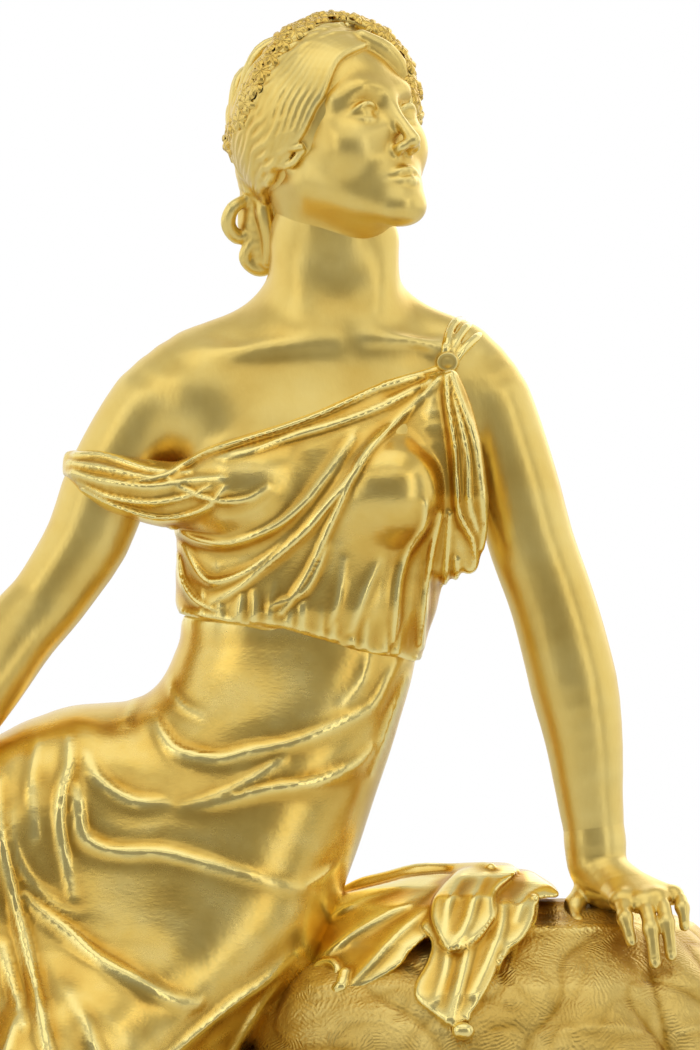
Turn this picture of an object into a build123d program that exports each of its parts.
"""Gilt figural mantel clock: a seated figure on a rock that holds a round striking movement.

Millimetres. X runs along the front from left to right, Y from front to back and Z up.
The origin is the centre of the plinth's footprint, on the surface that the feet stand on.
"""

from build123d import *
import math
import os

os.makedirs("parts", exist_ok=True)

# Plinth and feet
plinth_length = 400.0
plinth_depth = 176.0
plinth_height = 58.0
plinth_corner_radius = 6.0
plinth_wall = 5.0
plinth_step = 7.0
sub_moulding_height = 12.0
cornice_height = 11.0
cornice_fillet = 3.0
foot_height = 22.0
foot_radius = 13.0
foot_neck_radius = 7.0
foot_inset = 22.0
foot_spigot_radius = 3.0
foot_spigot_length = 4.0

# Rock
rock_length = 346.0
rock_depth = 152.0
rock_seat_height = 169.0
rock_wall = 7.0
rock_sides = 16
lug_radius = 8.0
lug_height = 14.0
lug_reach_x = 128.0
lug_reach_y = 50.0
bolt_radius = 2.0
bolt_head_radius = 4.0
bolt_head_height = 3.0
bolt_depth = 10.0

# Figure
figure_height = 280.0
figure_x = 22.0
figure_bolt_radius = 2.5
figure_bolt_length = 38.0
figure_nut_radius = 5.0
figure_nut_height = 4.0
figure_bolt_spacing = 26.0
button_radius = 1.6
button_height = 1.8

# Case openings and bezels
dial_x = 38.0
dial_height = 85.0
case_front_y = -74.0
case_back_y = 64.0
case_boss_radius = 63.0
spot_margin = 5.0
drum_outer_radius = 49.0
drum_wall = 1.6
drum_clearance = 0.3
bezel_outer_radius = 60.0
bezel_inner_radius = 43.0
bezel_thickness = 4.0
door_outer_radius = 59.0
door_inner_radius = 48.5
door_thickness = 5.0
door_gap = 0.3
glass_thickness = 1.6
glass_rise = 3.5
glass_clearance = 0.2
glass_rebate = 2.2
hinge_offset = 4.4
hinge_pin_radius = 1.2
hinge_pin_end = 1.0
hinge_knuckle_radius = 2.6
hinge_knuckle_length = 6.0
hinge_clearance = 0.05
knob_radius = 2.2
knob_length = 4.0

# Dial and hands
dial_radius = 44.5
dial_thickness = 1.4
dial_recess = 3.5
dial_foot_radius = 1.0
winding_hole_radius = 3.4
centre_hole_radius = 4.4
hour_hand_length = 24.0
minute_hand_length = 36.0
hand_thickness = 0.6
hand_boss_radius = 3.6
hand_clearance = 0.05
hour_hand_y = -72.4
minute_hand_y = -73.8
hand_boss_length = 1.0
dial_foot_circle_radius = 38.0
dial_foot_angles = [120.0, 240.0, 0.0]

# Movement
plate_radius = 41.0
plate_thickness = 2.0
front_plate_back_y = -54.0
plate_spacing = 40.0
pillar_radius = 2.0
pillar_circle_radius = 38.5
pillar_angles = [130.0, 75.0, 15.0, -90.0]
pillar_nut_radius = 2.4
pillar_nut_height = 1.6
arbor_radius = 1.1
pivot_radius = 0.55
pivot_clearance = 0.04
wheel_thickness = 1.3
pinion_length = 5.0
wheel_hub_radius = 2.6
spoke_width = 1.8
rim_width = 1.9
running_gap = 0.5

end_shake = 0.3
pinion_lead = 1.0
wide_pinion_lead = 2.0
third_pinion_lead = 3.2
strike_pinion_lead = 0.9
centre_arbor_swell = 0.3
ear_reach = 46.2
ear_width = 7.0
lip_inner_radius = 43.6
lip_thickness = 3.0
screw_radius = 1.0
screw_head_radius = 1.9
screw_head_height = 1.0
tie_rod_radius = 1.2
tie_rod_circle_radius = 46.0
tie_nut_radius = 2.2
drum_slot_width = 38.0
drum_slot_front_y = -6.0
drum_slot_back_y = 9.0

# Toothed wheels: module, teeth and places of the arbors from the centre arbor
barrel_module = 0.7
barrel_teeth = 44
intermediate_module = 0.7
train_module = 0.6
third_module = 0.5
intermediate_pinion_teeth = 10
intermediate_teeth = 40
centre_pinion_teeth = 10
centre_teeth = 48
third_pinion_teeth = 8
third_teeth = 44
escape_pinion_teeth = 8
strike_pinion_teeth = 8
pin_wheel_teeth = 36
fly_pinion_teeth = 7
barrel_distance = 23.0
barrel_angle = -38.0
intermediate_distance = 17.5
intermediate_angle = 15.57
third_angle = 125.0
strike_angle = 63.6
pin_wheel_angle = 74.0
fly_angle = 60.0
barrel_radius = 13.6
barrel_length = 24.0
barrel_wall = 1.0
barrel_arbor_radius = 3.0
winding_square = 3.4
mainspring_thickness = 1.0
mainspring_turns = 3
great_wheel_y = -22.0
great_wheel_thickness = 2.0
intermediate_y = -17.6
centre_wheel_y = -51.8
third_wheel_y = -38.8
escape_wheel_y = -28.8
second_wheel_y = -15.3
pin_wheel_y = -31.8
countwheel_y = -8.5
countwheel_radius = 12.4
countwheel_notch = 1.4
pin_count = 8
pin_circle_radius = 7.4
pin_radius = 0.5
pin_length = 2.8
escape_hole_radius = 0.9
fly_radius = 5.4
fly_thickness = 0.6
fly_length = 10.0
fly_back_y = -18.0
ratchet_teeth = 18
ratchet_radius = 5.6

# Motion work
motion_module = 0.6
cannon_teeth = 12
minute_wheel_teeth = 36
minute_pinion_teeth = 10
hour_wheel_teeth = 40
cannon_radius = 1.9
hour_pipe_radius = 3.1

# Escapement and pendulum
escape_teeth = 20
escape_radius = 7.5
escape_tooth_depth = 1.9
anchor_distance = 11.0
pallet_gap = 0.75
pallet_lap = 0.5
pallet_width = 1.6
pendulum_y = 1.0
pendulum_length = 92.0
pendulum_rod_radius = 1.0
bob_radius = 14.0
bob_thickness = 7.0
bob_edge_thickness = 1.2
rod_end_length = 3.0
rod_lap = 0.5
stirrup_cover = 0.6
rating_nut_radius = 3.0
rating_nut_height = 3.0
suspension_width = 5.0
suspension_thickness = 0.4
cock_width = 10.0
cock_thickness = 3.0
crutch_length = 30.0
crutch_width = 2.0
fork_gap = 0.35

# Bell and hammer
bell_radius = 25.0
bell_depth = 15.0
bell_wall = 1.6
bell_rim_y = 18.0
bell_x = -7.0
bell_rise = -3.0
bell_post_radius = 2.2
hammer_radius = 3.2
hammer_gap = 0.8
hammer_length = 6.0
hammer_angle = 188.0
hammer_y = 20.5
hammer_arbor_distance = 38.9
hammer_arbor_angle = 160.0
hammer_arm_width = 2.0
hammer_tail_gap = 0.4
hammer_tail_play = 0.6

overrun = 40.0

ear_angles = [90.0, 210.0, 330.0]
tie_rod_angles = [30.0, 150.0]
tie_nut_thickness = 0.6
screw_circle_radius = 45.0
second_pivot_radius = 0.75
barrel_pivot_radius = 2.2
pillar_spigot_share = 0.6
minute_stud_y = -65.2
minute_stud_radius = 1.0
winding_front_y = -69.8
ratchet_gap = 0.4
ratchet_thickness = 1.2
click_points = [(3.2, -8.0), (5.4, -6.4), (4.0, -5.95), (-0.3, -5.75), (-0.3, -6.3)]
click_post = (4.3, -7.1)
click_post_radius = 0.8
pin_start = 20.0
anchor_y = -28.0
anchor_thickness = 3.0
anchor_inner_radius = 9.2
anchor_outer_radius = 11.0
crutch_y = -8.0
crutch_thickness = 2.0
fork_back_y = 2.5
eye_length = 4.0
eye_outer_radius = 2.4
suspension_pin_radius = 0.9
cheek_gap = 0.3
cheek_thickness = 1.2
cock_low = 36.0
cock_high = 45.0
cannon_y = -57.5
cannon_length = 3.6
minute_wheel_y = -59.2
minute_pinion_length = 4.0
hour_wheel_y = -62.4
hour_boss_radius = 4.6
hand_width = 2.6
hand_ring_share = 0.62
hand_shares = [(0.40, 0.0), (0.34, 0.50), (0.34, 0.74), (0.75, 0.80), (0.30, 0.86), (0.0, 1.0)]
bell_stud_radius = 1.5
glass_steps = 6
bell_nut_radius = 4.0
bell_nut_height = 3.0

# Places that follow from the sizes above
ground_z = foot_height + plinth_height
seat_z = ground_z + rock_seat_height
dial_z = ground_z + dial_height
half_length = rock_length / 2
half_depth = rock_depth / 2
front_plate_y = front_plate_back_y - plate_thickness
back_plate_y = front_plate_back_y + plate_spacing
back_plate_back_y = back_plate_y + plate_thickness
dial_front_y = case_front_y + dial_recess


def finish(builder, name):
    """Labels a finished piece and writes it."""
    builder.part.label = name
    export_step(builder.part, f"parts/{name}.step")


def case_plane(y, x=0.0, z=0.0):
    """Plane across the movement's axis at depth y, facing the front."""
    return Plane(origin=(dial_x + x, y, dial_z + z), x_dir=(1, 0, 0), z_dir=(0, -1, 0))


def polar(distance, angle):
    """Offset (x, z) at an angle in degrees, as seen from the front."""
    return (distance * math.cos(math.radians(angle)), distance * math.sin(math.radians(angle)))


def between(start, end):
    """Distance and angle from one arbor to another, as seen from the front."""
    across, up = end[0] - start[0], end[1] - start[1]
    return math.hypot(across, up), math.degrees(math.atan2(up, across))


# Plinth: a moulded box, open below, with the rock's bolt holes in its top
with BuildPart() as plinth:
    with BuildSketch(Plane.XY.offset(foot_height)):
        RectangleRounded(plinth_length, plinth_depth, plinth_corner_radius)
    extrude(amount=sub_moulding_height)
    chamfer(plinth.edges().group_by(Axis.Z)[-1], plinth_step / 2)
    with BuildSketch(Plane.XY.offset(foot_height + sub_moulding_height)):
        RectangleRounded(
            plinth_length - 2 * plinth_step, plinth_depth - 2 * plinth_step, plinth_corner_radius
        )
    extrude(amount=plinth_height - sub_moulding_height)
    with BuildSketch(Plane.XY.offset(ground_z - cornice_height)):
        RectangleRounded(
            plinth_length - plinth_step / 2, plinth_depth - plinth_step / 2, plinth_corner_radius
        )
    extrude(amount=cornice_height)
    fillet(plinth.edges().group_by(Axis.Z)[-1], cornice_fillet)
    with BuildSketch(Plane.XY.offset(foot_height)):
        Rectangle(
            plinth_length - 2 * (plinth_step + plinth_wall), plinth_depth - 2 * (plinth_step + plinth_wall)
        )
    extrude(amount=plinth_height - plinth_wall, mode=Mode.SUBTRACT)
    with BuildSketch(Plane.XY.offset(ground_z - plinth_wall)):
        with GridLocations(2 * lug_reach_x, 2 * lug_reach_y, 2, 2):
            Circle(bolt_radius)
    extrude(amount=plinth_wall, mode=Mode.SUBTRACT)
    foot_reach_x = plinth_length / 2 - foot_inset
    foot_reach_y = plinth_depth / 2 - foot_inset
    corner_block = 2 * (foot_inset - plinth_step)
    with BuildSketch(Plane.XY.offset(foot_height)):
        with GridLocations(2 * foot_reach_x, 2 * foot_reach_y, 2, 2):
            Rectangle(corner_block, corner_block)
    extrude(amount=sub_moulding_height)
    with BuildSketch(Plane.XY.offset(foot_height)):
        with GridLocations(2 * foot_reach_x, 2 * foot_reach_y, 2, 2):
            Circle(foot_spigot_radius)
    extrude(amount=foot_spigot_length, mode=Mode.SUBTRACT)
finish(plinth, "plinth")

# Raised frame round the frieze on the front, which sits on the box between the mouldings
frieze_height = plinth_height - sub_moulding_height - cornice_height
frieze_border_width = 3.0
frieze_border_thickness = 1.6
frieze_margin = 5.0
frieze_face_y = -(plinth_depth / 2 - plinth_step)
frieze_middle_z = foot_height + sub_moulding_height + frieze_height / 2
with BuildPart() as frieze_mount:
    with BuildSketch(
        Plane(origin=(0, frieze_face_y, frieze_middle_z), x_dir=(1, 0, 0), z_dir=(0, -1, 0))
    ):
        panel_width = plinth_length - 2 * (plinth_step + frieze_margin + plinth_corner_radius)
        panel_height = frieze_height - 2 * frieze_margin
        Rectangle(panel_width, panel_height)
        Rectangle(
            panel_width - 2 * frieze_border_width, panel_height - 2 * frieze_border_width, mode=Mode.SUBTRACT
        )
    extrude(amount=frieze_border_thickness)
finish(frieze_mount, "frieze_mount")

# Turned feet, each with a spigot in the plinth's corner block
with BuildPart() as feet:
    with BuildSketch(Plane.XZ):
        with BuildLine():
            Line((0, 0), (foot_neck_radius, 0))
            Line((foot_neck_radius, 0), (foot_radius * 0.8, foot_height * 0.25))
            ThreePointArc(
                (foot_radius * 0.8, foot_height * 0.25),
                (foot_radius, foot_height * 0.45),
                (foot_radius * 0.8, foot_height * 0.65),
            )
            Line((foot_radius * 0.8, foot_height * 0.65), (foot_neck_radius, foot_height * 0.75))
            Line((foot_neck_radius, foot_height * 0.75), (foot_radius * 0.9, foot_height))
            Line((foot_radius * 0.9, foot_height), (foot_spigot_radius, foot_height))
            Line((foot_spigot_radius, foot_height), (foot_spigot_radius, foot_height + foot_spigot_length))
            Line(
                (foot_spigot_radius, foot_height + foot_spigot_length), (0, foot_height + foot_spigot_length)
            )
            Line((0, foot_height + foot_spigot_length), (0, 0))
        make_face()
    turned_foot = revolve(axis=Axis.Z, mode=Mode.PRIVATE)
    with GridLocations(2 * foot_reach_x, 2 * foot_reach_y, 2, 2):
        add(turned_foot)
finish(feet, "toupie_feet")


def rock_outline(x_low, x_high, y_low, y_high, phase, wall):
    """Irregular, rather square outline between four limits, drawn in by the wall."""
    points = []
    for corner in range(rock_sides):
        turn = 2 * math.pi * corner / rock_sides
        wobble = 0.95 + 0.035 * math.sin(3 * turn + phase) + 0.015 * math.sin(7 * turn + 2 * phase)
        square_x = math.copysign(abs(math.cos(turn)) ** 0.8, math.cos(turn))
        square_y = math.copysign(abs(math.sin(turn)) ** 0.8, math.sin(turn))
        points.append(
            (
                (x_low + x_high) / 2 + ((x_high - x_low) / 2 - wall) * square_x * wobble,
                (y_low + y_high) / 2 + ((y_high - y_low) / 2 - wall) * square_y * wobble,
            )
        )
    return points


def rock_lobe(levels, wall=0.0):
    """Outlines of one boulder at rising heights; wall draws them in to make a hollow."""
    sections = []
    for number, (height, x_low, x_high, y_low, y_high) in enumerate(levels):
        lowered = height - (wall if number == len(levels) - 1 else 0.0)
        with BuildSketch(Plane.XY.offset(lowered)) as section:
            with BuildLine():
                Polyline(*rock_outline(x_low, x_high, y_low, y_high, number, wall), close=True)
            make_face()
        sections.append(section.sketch.face())
    return sections


def rock_levels(z_base, rise, shares):
    """Turns height, length and depth shares into millimetres above a base."""
    return [
        (z_base + h * rise, xl * half_length, xh * half_length, yl * half_depth, yh * half_depth)
        for h, xl, xh, yl, yh in shares
    ]


# Each row: height, left, right, front and back limits
ledge_shares = [
    (0.0, -1.03, 1.03, -1.05, 1.0), (0.16, -1.0, 1.0, -1.03, 0.96), (0.30, -0.96, 0.97, -0.98, 0.9)
]
face_shares = [
    (0.0, -0.30, 1.0, -1.02, 0.95),
    (0.45, -0.26, 0.98, -1.0, 0.92),
    (0.78, -0.22, 0.92, -0.96, 0.86),
    (0.94, -0.14, 0.88, -0.82, 0.80),
    (1.04, -0.02, 0.84, -0.66, 0.70),
]
seat_shares = [
    (0.0, -0.78, 0.30, -0.60, 0.90),
    (0.45, -0.70, 0.30, -0.56, 0.86),
    (0.85, -0.58, 0.30, -0.52, 0.78),
    (1.0, -0.48, 0.30, -0.40, 0.66),
]
step_shares = [
    (0.0, -1.03, -0.56, -0.66, 0.56), (0.36, -1.02, -0.58, -0.64, 0.52), (0.52, -1.0, -0.62, -0.60, 0.44)
]
plateau_rise = 0.142 * figure_height
plateau_shares = [
    (-0.6, 0.04, 0.88, -0.82, 0.76),
    (0.0, 0.05, 0.86, -0.74, 0.70),
    (0.55, 0.06, 0.80, -0.56, 0.60),
    (0.9, 0.08, 0.70, -0.32, 0.48),
    (1.0, 0.14, 0.62, -0.14, 0.38),
]
plateau_levels = rock_levels(seat_z, plateau_rise, plateau_shares)
figure_bolt_shares = (-0.15, 0.03)
figure_bolt_middle = (figure_x + figure_bolt_shares[0] * figure_height, figure_bolt_shares[1] * figure_height)

with BuildPart() as rock_solid:
    for shares in (ledge_shares, face_shares, seat_shares, step_shares):
        loft(rock_lobe(rock_levels(ground_z, rock_seat_height, shares)), ruled=True)
    loft(rock_lobe(plateau_levels), ruled=True)
    with BuildSketch(case_plane(case_front_y)):
        Circle(case_boss_radius)
    extrude(amount=-(case_back_y - case_front_y))
    with BuildSketch(case_plane(case_front_y)):
        Circle(case_boss_radius + spot_margin)
    extrude(amount=overrun, mode=Mode.SUBTRACT)
    with BuildSketch(case_plane(case_back_y)):
        Circle(case_boss_radius + spot_margin)
    extrude(amount=-overrun, mode=Mode.SUBTRACT)

with BuildPart() as rock_hollow:
    for shares in (ledge_shares, face_shares, seat_shares):
        loft(rock_lobe(rock_levels(ground_z, rock_seat_height, shares), rock_wall), ruled=True)

with BuildPart() as rock:
    add(rock_solid.part)
    add(rock_hollow.part, mode=Mode.SUBTRACT)
    with BuildSketch(Plane.XY.offset(ground_z)):
        with GridLocations(2 * lug_reach_x, 2 * lug_reach_y, 2, 2):
            Circle(lug_radius)
    extrude(amount=lug_height)
    with BuildSketch(Plane.XY.offset(ground_z)):
        with GridLocations(2 * lug_reach_x, 2 * lug_reach_y, 2, 2):
            Circle(bolt_radius)
    extrude(amount=bolt_depth, mode=Mode.SUBTRACT)
    with BuildSketch(case_plane(case_front_y - overrun)):
        Circle(drum_outer_radius + drum_clearance)
    extrude(amount=-(case_back_y - case_front_y + 2 * overrun), mode=Mode.SUBTRACT)
    with BuildSketch(Plane.XY.offset(seat_z - rock_wall - overrun)):
        with Locations(figure_bolt_middle):
            with GridLocations(figure_bolt_spacing, figure_bolt_spacing, 2, 1):
                Circle(figure_bolt_radius)
    extrude(amount=rock_wall + 2 * overrun, mode=Mode.SUBTRACT)
finish(rock, "rock_case")

# Bolts that hold the rock on the plinth, from below
with BuildPart() as rock_bolts:
    with BuildSketch(Plane.XY.offset(ground_z - plinth_wall)):
        with GridLocations(2 * lug_reach_x, 2 * lug_reach_y, 2, 2):
            Circle(bolt_radius)
    extrude(amount=plinth_wall + bolt_depth)
    with BuildSketch(Plane.XY.offset(ground_z - plinth_wall - bolt_head_height)):
        with GridLocations(2 * lug_reach_x, 2 * lug_reach_y, 2, 2):
            Circle(bolt_head_radius)
    extrude(amount=bolt_head_height)
finish(rock_bolts, "rock_bolts")


def figure_point(shares):
    """A place on the figure, from shares of its height: right, back and up from the seat's front."""
    return (
        figure_x + shares[0] * figure_height,
        shares[1] * figure_height,
        seat_z + shares[2] * figure_height,
    )


def limb(stations, upright=False, width_direction=Vector(0, 0, 0)):
    """Ellipses square to the line of a tapering limb, for a loft.

    Each station is x, y and z of the centre, then the half width and half depth, all as shares.
    """
    places = [Vector(*figure_point(row[:3])) for row in stations]
    sections = []
    for number, row in enumerate(stations):
        before = places[max(number - 1, 0)]
        after = places[min(number + 1, len(places) - 1)]
        along = Vector(0, 0, 1) if upright else (after - before).normalized()
        across = Vector(0, 1, 0).cross(along).normalized()
        if width_direction.length > 0:
            across = (width_direction - along * width_direction.dot(along)).normalized()
        with BuildSketch(Plane(origin=places[number], x_dir=across, z_dir=along)) as section:
            Ellipse(row[3] * figure_height, row[4] * figure_height)
        sections.append(section.sketch.face())
    return sections


def ball(shares, radius_share):
    """A round form at a place on the figure."""
    with Locations(figure_point(shares)):
        Sphere(radius_share * figure_height)


# Upper body: the bare chest and shoulders with the gathered bodice, cast in one
torso_shares = [
    (-0.050, 0.000, 0.400, 0.117, 0.082),
    (-0.040, -0.005, 0.475, 0.138, 0.096),
    (-0.028, -0.014, 0.555, 0.152, 0.108),
    (-0.025, -0.005, 0.630, 0.165, 0.090),
    (-0.024, 0.005, 0.680, 0.150, 0.068),
    (-0.022, 0.012, 0.722, 0.100, 0.058),
    (-0.019, 0.015, 0.750, 0.062, 0.056),
]
right_breast_shares = (-0.098, -0.072, 0.560)
left_breast_shares = (0.038, -0.078, 0.552)
breast_share = 0.056
sleeve_shares = [
    (-0.285, -0.030, 0.580, 0.012, 0.020),
    (-0.240, -0.055, 0.570, 0.030, 0.026),
    (-0.190, -0.070, 0.560, 0.040, 0.030),
    (-0.120, -0.085, 0.575, 0.030, 0.022),
]
fall_shares = [
    (0.100, -0.070, 0.680, 0.010, 0.010),
    (0.118, -0.078, 0.610, 0.024, 0.018),
    (0.122, -0.070, 0.540, 0.032, 0.022),
    (0.116, -0.055, 0.478, 0.014, 0.012),
]
with BuildPart() as upper_body:
    loft(limb(torso_shares, upright=True))
    ball(right_breast_shares, breast_share)
    ball(left_breast_shares, breast_share)
    loft(limb(sleeve_shares))
    loft(limb(fall_shares))

# Head and neck, turned up and to the left
neck_shares = [
    (-0.020, 0.015, 0.738, 0.068, 0.058),
    (-0.016, 0.010, 0.790, 0.051, 0.051),
    (-0.020, 0.008, 0.840, 0.054, 0.056),
    (-0.028, 0.008, 0.880, 0.056, 0.060),
]
head_centre_shares = (-0.026, -0.004, 0.932)
face_direction = Vector(0.60, -0.62, 0.50).normalized()
crown_direction = (Vector(0, 0, 1) - face_direction * face_direction.Z).normalized()
# Each row: height above the head's middle, forward shift, half depth and half width
skull_shares = [
    (-0.102, 0.052, 0.018, 0.018),
    (-0.080, 0.042, 0.038, 0.036),
    (-0.045, 0.020, 0.064, 0.053),
    (0.000, 0.000, 0.086, 0.064),
    (0.045, -0.008, 0.088, 0.066),
    (0.078, -0.010, 0.066, 0.052),
    (0.098, -0.010, 0.030, 0.026),
]
hair_shares = [
    (-0.050, -0.040, 0.044, 0.050),
    (0.000, -0.014, 0.083, 0.073),
    (0.045, -0.014, 0.093, 0.076),
    (0.082, -0.014, 0.072, 0.060),
    (0.106, -0.014, 0.034, 0.030),
]
nose_shares = [(0.004, 0.082, 0.008, 0.008), (-0.030, 0.094, 0.010, 0.012)]
head_centre = Vector(*figure_point(head_centre_shares))


def head_plane(up_share, forward_share):
    """Plane across the head, facing the crown, with X towards the face."""
    origin = head_centre + (crown_direction * up_share + face_direction * forward_share) * figure_height
    return Plane(origin=origin, x_dir=face_direction, z_dir=crown_direction)


def head_sections(rows):
    """Ellipses across the head, from the chin end to the crown, for a loft."""
    sections = []
    for up, forward, deep, wide in rows:
        with BuildSketch(head_plane(up, forward)) as section:
            Ellipse(deep * figure_height, wide * figure_height)
        sections.append(section.sketch.face())
    return sections


with BuildPart() as head:
    loft(limb(neck_shares, upright=True))
    loft(head_sections(skull_shares))
    loft(head_sections(nose_shares))

with BuildPart() as upper_body_cut:
    add(upper_body.part)
    add(head.part, mode=Mode.SUBTRACT)

# Hair swept back from the face to a looped knot in the nape
hairline_share = 0.040
knot_shares = [(-0.100, 0.045, 0.830), (-0.085, 0.050, 0.800)]
knot_radius_shares = [0.026, 0.022]
with BuildPart() as hair:
    loft(head_sections(hair_shares))
    with BuildSketch(Plane(origin=head_plane(0, hairline_share).origin, z_dir=face_direction)):
        Rectangle(figure_height, figure_height)
    extrude(amount=figure_height, mode=Mode.SUBTRACT)
    for place, radius in zip(knot_shares, knot_radius_shares):
        ball(place, radius)
    add(head.part, mode=Mode.SUBTRACT)
    add(upper_body.part, mode=Mode.SUBTRACT)

nape_shares = [
    (-0.062, 0.036, 0.905, 0.050, 0.045),
    (-0.082, 0.048, 0.865, 0.038, 0.036),
    (-0.088, 0.050, 0.825, 0.030, 0.030),
    (-0.080, 0.044, 0.792, 0.014, 0.014),
]
with BuildPart() as hair_mass:
    add(hair.part)
    loft(limb(nape_shares))
    add(head.part, mode=Mode.SUBTRACT)
    add(upper_body.part, mode=Mode.SUBTRACT)
with BuildPart() as hair_casting:
    add(hair_mass.part.solids().sort_by(SortBy.VOLUME)[-1])

# Wreath of flowers set on the hair
wreath_tilt = 24.0
wreath_deep_share = 0.094
wreath_wide_share = 0.080
wreath_up_share = 0.050
wreath_back_share = -0.016
wreath_band_share = 0.010
flower_share = 0.016
flower_count = 18
band_chamfer = 2.0
wreath_centre = head_plane(wreath_up_share, wreath_back_share)
wreath_plane = wreath_centre.rotated((0, -wreath_tilt, 0))
scallops = []
for number in range(2 * flower_count):
    turn = math.pi * number / flower_count
    reach = 1 + flower_share * (4 if number % 2 else -1)
    scallops.append(
        (
            reach * (wreath_deep_share + wreath_band_share) * figure_height * math.cos(turn),
            reach * (wreath_wide_share + wreath_band_share) * figure_height * math.sin(turn),
        )
    )
with BuildPart() as wreath:
    with BuildSketch(wreath_plane.offset(-flower_share * figure_height)):
        with BuildLine():
            Polyline(*scallops, close=True)
        make_face()
        Ellipse(
            wreath_wide_share * figure_height / 2, wreath_wide_share * figure_height / 2, mode=Mode.SUBTRACT
        )
    extrude(amount=2 * flower_share * figure_height)
    chamfer(
        wreath.faces().sort_by(Axis(wreath_plane.origin, wreath_plane.z_dir))[-1].outer_wire().edges(),
        band_chamfer,
    )
    add(head.part, mode=Mode.SUBTRACT)
    add(hair_casting.part, mode=Mode.SUBTRACT)

# Lower body: the wrapped skirt over the hips and both legs
hip_shares = [
    (-0.050, 0.000, 0.399, 0.118, 0.082),
    (-0.085, -0.004, 0.330, 0.134, 0.100),
    (-0.128, -0.008, 0.250, 0.152, 0.115),
    (-0.160, -0.012, 0.170, 0.156, 0.124),
    (-0.185, -0.014, 0.090, 0.142, 0.122),
    (-0.200, -0.014, 0.020, 0.118, 0.105),
]
right_leg_shares = [
    (-0.180, 0.006, 0.235, 0.110, 0.104),
    (-0.260, -0.006, 0.230, 0.115, 0.108),
    (-0.330, -0.020, 0.200, 0.110, 0.104),
    (-0.410, -0.038, 0.150, 0.102, 0.098),
    (-0.490, -0.058, 0.094, 0.091, 0.088),
    (-0.555, -0.074, 0.046, 0.082, 0.080),
    (-0.592, -0.078, -0.040, 0.068, 0.070),
    (-0.602, -0.072, -0.140, 0.062, 0.066),
    (-0.605, -0.066, -0.230, 0.070, 0.070),
]
left_leg_shares = [
    (-0.130, -0.020, 0.130, 0.112, 0.105),
    (-0.215, -0.075, 0.050, 0.108, 0.105),
    (-0.285, -0.140, -0.020, 0.098, 0.098),
    (-0.340, -0.190, -0.085, 0.085, 0.086),
    (-0.385, -0.212, -0.180, 0.068, 0.074),
    (-0.420, -0.222, -0.270, 0.062, 0.068),
    (-0.440, -0.226, -0.355, 0.072, 0.072),
]
# Cloth that hangs from one leg to the other, in front and behind
front_drape_shares = [
    (-0.170, -0.025, 0.190, 0.105, 0.100),
    (-0.290, -0.060, 0.095, 0.100, 0.090),
    (-0.400, -0.100, 0.020, 0.090, 0.072),
    (-0.465, -0.130, -0.060, 0.084, 0.055),
    (-0.500, -0.140, -0.150, 0.078, 0.046),
    (-0.515, -0.146, -0.240, 0.080, 0.046),
    (-0.522, -0.148, -0.310, 0.086, 0.050),
]
with BuildPart() as lower_body:
    loft(limb(hip_shares, upright=True))
    for rows in (right_leg_shares, left_leg_shares, front_drape_shares):
        loft(limb(rows))
    add(rock_solid.part, mode=Mode.SUBTRACT)

# Arms and hands
left_arm_shares = [
    (0.085, 0.008, 0.694, 0.020, 0.020),
    (0.118, 0.010, 0.682, 0.040, 0.042),
    (0.150, 0.012, 0.640, 0.054, 0.052),
    (0.172, 0.012, 0.570, 0.050, 0.048),
    (0.184, 0.012, 0.500, 0.047, 0.044),
    (0.210, 0.014, 0.420, 0.046, 0.042),
    (0.225, 0.014, 0.355, 0.046, 0.042),
    (0.232, 0.010, 0.300, 0.041, 0.038),
    (0.239, 0.006, 0.235, 0.033, 0.030),
    (0.246, 0.002, 0.184, 0.030, 0.025),
]
right_arm_shares = [
    (-0.140, 0.008, 0.692, 0.020, 0.020),
    (-0.172, 0.006, 0.680, 0.042, 0.042),
    (-0.214, 0.004, 0.632, 0.056, 0.052),
    (-0.258, 0.000, 0.530, 0.044, 0.045),
    (-0.300, -0.010, 0.455, 0.037, 0.038),
    (-0.335, -0.025, 0.400, 0.037, 0.036),
    (-0.385, -0.055, 0.335, 0.036, 0.034),
    (-0.430, -0.085, 0.275, 0.030, 0.028),
    (-0.458, -0.104, 0.236, 0.025, 0.023),
]
left_palm_shares = [
    (0.243, 0.004, 0.205, 0.022, 0.018),
    (0.252, -0.010, 0.166, 0.032, 0.022),
    (0.269, -0.045, 0.152, 0.044, 0.017),
    (0.287, -0.086, 0.142, 0.045, 0.012),
]
left_finger_shares = [
    [(0.240, -0.004, 0.168), (0.224, -0.030, 0.150), (0.232, -0.058, 0.126), (0.246, -0.078, 0.108)],
    [(0.262, -0.050, 0.152), (0.256, -0.084, 0.142), (0.268, -0.110, 0.132), (0.277, -0.124, 0.106)],
    [(0.274, -0.050, 0.152), (0.278, -0.088, 0.142), (0.292, -0.118, 0.130), (0.300, -0.130, 0.088)],
    [(0.284, -0.050, 0.152), (0.299, -0.084, 0.142), (0.312, -0.110, 0.130), (0.318, -0.122, 0.094)],
    [(0.290, -0.045, 0.152), (0.314, -0.070, 0.142), (0.330, -0.088, 0.130), (0.335, -0.096, 0.108)],
]
right_palm_shares = [
    (-0.440, -0.092, 0.262, 0.020, 0.020),
    (-0.468, -0.110, 0.222, 0.021, 0.028),
    (-0.494, -0.124, 0.196, 0.015, 0.038),
    (-0.522, -0.136, 0.174, 0.011, 0.040),
]
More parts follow.
